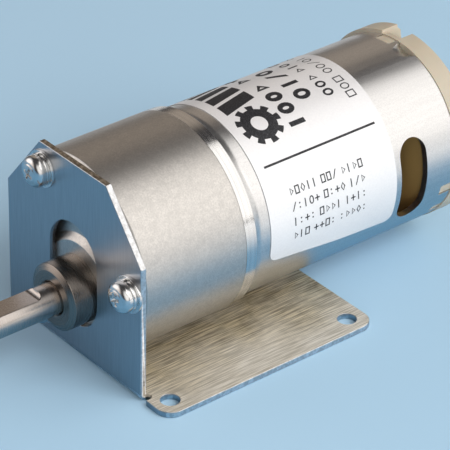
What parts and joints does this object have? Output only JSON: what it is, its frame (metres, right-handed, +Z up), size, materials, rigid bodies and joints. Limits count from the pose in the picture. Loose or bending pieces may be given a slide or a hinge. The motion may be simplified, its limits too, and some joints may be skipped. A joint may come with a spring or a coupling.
{
  "type": "geared dc motor",
  "caption": "Brushed DC motor with an offset spur gearbox and a D-flat output shaft, screwed to a bent sheet mounting bracket.",
  "frame": {"origin": "on the underside of the base plate, below the motor axis and midway between the two mounting holes", "axes": "+X along the output shaft, out of its free end; +Z up from the base plate"},
  "size_m": [0.1109, 0.0458, 0.0393],
  "materials": {
    "bracket_sheet": "brushed sheet, bright cut edges",
    "plated_steel": "bright plated fasteners",
    "cast_case": "fine cast and blasted light metal",
    "turned_plate": "fine turned light metal",
    "dark_steel": "turned dark steel",
    "shaft_steel": "ground steel",
    "gear_steel": "cut teeth, oiled",
    "bronze": "oil-filled sintered bronze",
    "brass_gear": "cut brass",
    "can_steel": "satin nickel plate",
    "label_paper": "white glossy label paper",
    "magnet_ferrite": "dark ferrite",
    "spring_strip": "spring steel",
    "core_steel": "stacked laminations",
    "copper_wire": "enamelled copper wire",
    "phenolic": "brown insulating moulding",
    "commutator_copper": "turned copper",
    "end_cap_plastic": "cream moulded plastic",
    "contact_brass": "stamped brass",
    "carbon": "carbon block"
  },
  "bodies": {
    "case": {"mounting_bracket": "bracket_sheet", "case_screws": "plated_steel", "spring_washers": "plated_steel", "flat_washers": "plated_steel", "gearbox_housing": "cast_case", "gearbox_rear_plate": "turned_plate", "bearing_plate": "turned_plate", "output_bush": "dark_steel", "output_rear_bush": "bronze", "thrust_washers": "bronze", "layshaft_bushes": "bronze", "motor_screws": "plated_steel", "motor_can": "can_steel", "motor_label": "label_paper", "field_magnets": "magnet_ferrite", "magnet_clips": "spring_strip", "motor_front_bush": "bronze", "motor_rear_bush": "bronze", "end_cap": "end_cap_plastic", "brush_plate": "phenolic", "brush_holders": "contact_brass", "upper_brush_spring": "spring_strip", "lower_brush_spring": "spring_strip", "motor_terminals": "contact_brass"},
    "armature": {"armature_shaft": "shaft_steel", "armature_core": "core_steel", "armature_windings": "copper_wire", "commutator_hub": "phenolic", "commutator_segments": "commutator_copper", "armature_spacers": "end_cap_plastic", "motor_pinion": "brass_gear"},
    "lay_gears": {"layshaft": "shaft_steel", "layshaft_gear": "gear_steel", "layshaft_pinion": "gear_steel"},
    "output": {"output_shaft": "shaft_steel", "output_gear": "gear_steel"},
    "brush_upper": {"upper_brush": "carbon"},
    "brush_lower": {"lower_brush": "carbon"}
  },
  "joints": [
    {"name": "armature_spin", "type": "hinge", "parent": "case", "child": "armature", "pos_m": [-0.02125, 0, 0.02042], "axis": [1, 0, 0], "continuous": true},
    {"name": "layshaft_spin", "type": "hinge", "parent": "case", "child": "lay_gears", "pos_m": [0.00975, -0.00934, 0.01763], "axis": [1, 0, 0], "continuous": true},
    {"name": "output_spin", "type": "hinge", "parent": "case", "child": "output", "pos_m": [0.02375, 0, 0.01342], "axis": [1, 0, 0], "continuous": true},
    {"name": "upper_brush_slide", "type": "slide", "parent": "case", "child": "brush_upper", "axis": [0, 0, 1], "range_m": [0, 0.0015], "stiffness_N_per_m": 200, "springref_m": -0.003, "deforming": ["upper_brush_spring"]},
    {"name": "lower_brush_slide", "type": "slide", "parent": "case", "child": "brush_lower", "axis": [0, 0, -1], "range_m": [0, 0.0015], "stiffness_N_per_m": 200, "springref_m": -0.003, "deforming": ["lower_brush_spring"]}
  ],
  "couplings": [
    {"joint": "layshaft_spin", "follows": "armature_spin", "ratio": -0.625},
    {"joint": "output_spin", "follows": "armature_spin", "ratio": 0.4}
  ]
}
